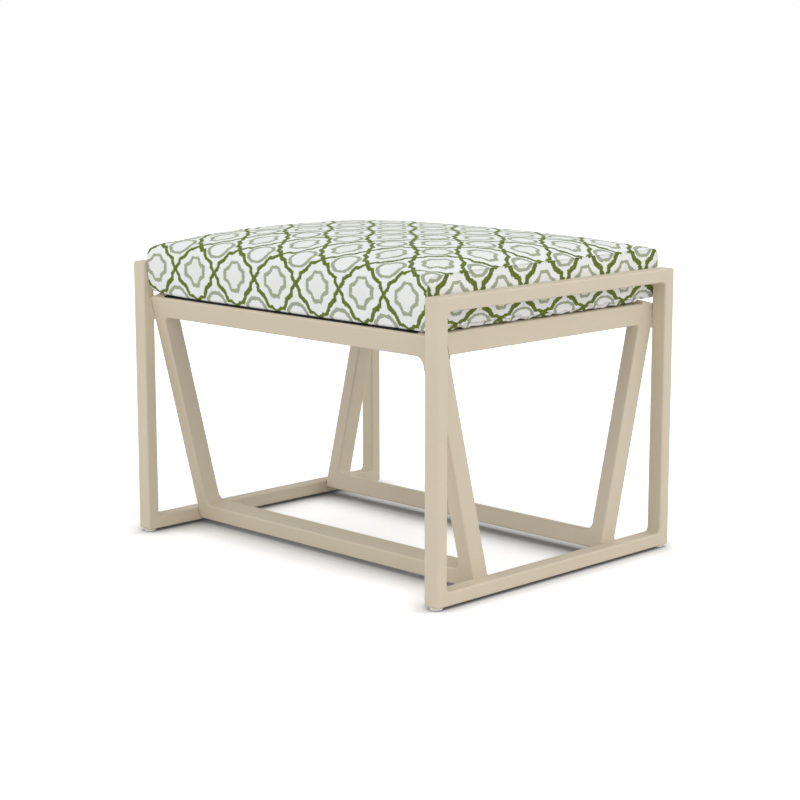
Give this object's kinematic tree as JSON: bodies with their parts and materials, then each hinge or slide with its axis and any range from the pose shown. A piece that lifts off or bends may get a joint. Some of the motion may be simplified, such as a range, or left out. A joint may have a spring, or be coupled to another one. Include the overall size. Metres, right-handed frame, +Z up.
{
  "type": "outdoor ottoman footstool",
  "caption": "Open tubular footstool with upright side loops, an inner base of leaning loops, a stretched mesh deck and a loose crowned cushion in a zipped patterned cover",
  "frame": {"origin": "on the floor, midway between the side loops and midway between front and back", "axes": "+X to the right along the longer side, from side loop to side loop; +Y to the back, where the cover's zip is; +Z up"},
  "size_m": [0.648, 0.504, 0.4789],
  "materials": {
    "beige_coat": "satin beige powder coat over welded aluminium tube",
    "clear_plastic": "translucent white moulded nylon",
    "black_mesh": "black coated polyester sling mesh",
    "black_rod": "black extruded plastic spline",
    "printed_fabric": "off-white outdoor canvas printed with an olive and grey-green lattice",
    "seat_foam": "open-cell foam block",
    "white_fibre": "bonded polyester fibre",
    "zip_nylon": "white nylon coil on woven tape",
    "zip_metal": "plated die-cast zinc"
  },
  "bodies": {
    "frame": {"left_loop_front_post": "beige_coat", "left_loop_back_post": "beige_coat", "left_loop_top_rail": "beige_coat", "left_loop_bottom_rail": "beige_coat", "right_loop_front_post": "beige_coat", "right_loop_back_post": "beige_coat", "right_loop_top_rail": "beige_coat", "right_loop_bottom_rail": "beige_coat", "front_seat_rail": "beige_coat", "front_left_leg": "beige_coat", "front_right_leg": "beige_coat", "front_floor_stretcher": "beige_coat", "back_seat_rail": "beige_coat", "back_left_leg": "beige_coat", "back_right_leg": "beige_coat", "back_floor_stretcher": "beige_coat", "left_seat_rail": "beige_coat", "right_seat_rail": "beige_coat", "left_front_glide": "clear_plastic", "left_back_glide": "clear_plastic", "right_front_glide": "clear_plastic", "right_back_glide": "clear_plastic", "sling_deck": "black_mesh", "front_spline_rod": "black_rod", "back_spline_rod": "black_rod"},
    "cushion": {"cover_wrap": "printed_fabric", "cover_left_end": "printed_fabric", "cover_right_end": "printed_fabric", "foam_core": "seat_foam", "upper_fibre_pad": "white_fibre", "lower_fibre_pad": "white_fibre", "zip_chain": "zip_nylon"},
    "slider": {"zip_slider": "zip_metal"},
    "pull": {"zip_pull": "zip_metal"}
  },
  "joints": [
    {"name": "cushion_lift", "type": "slide", "parent": "frame", "child": "cushion", "axis": [0, 0, 1], "range_m": [0, 0.15]},
    {"name": "zip_slide", "type": "slide", "parent": "cushion", "child": "slider", "axis": [-1, 0, 0], "range_m": [0, 0.41]},
    {"name": "pull_swing", "type": "hinge", "parent": "slider", "child": "pull", "pos_m": [0.205, 0.2452, 0.415], "axis": [0, 0, 1], "range_deg": [-170, 0]}
  ]
}
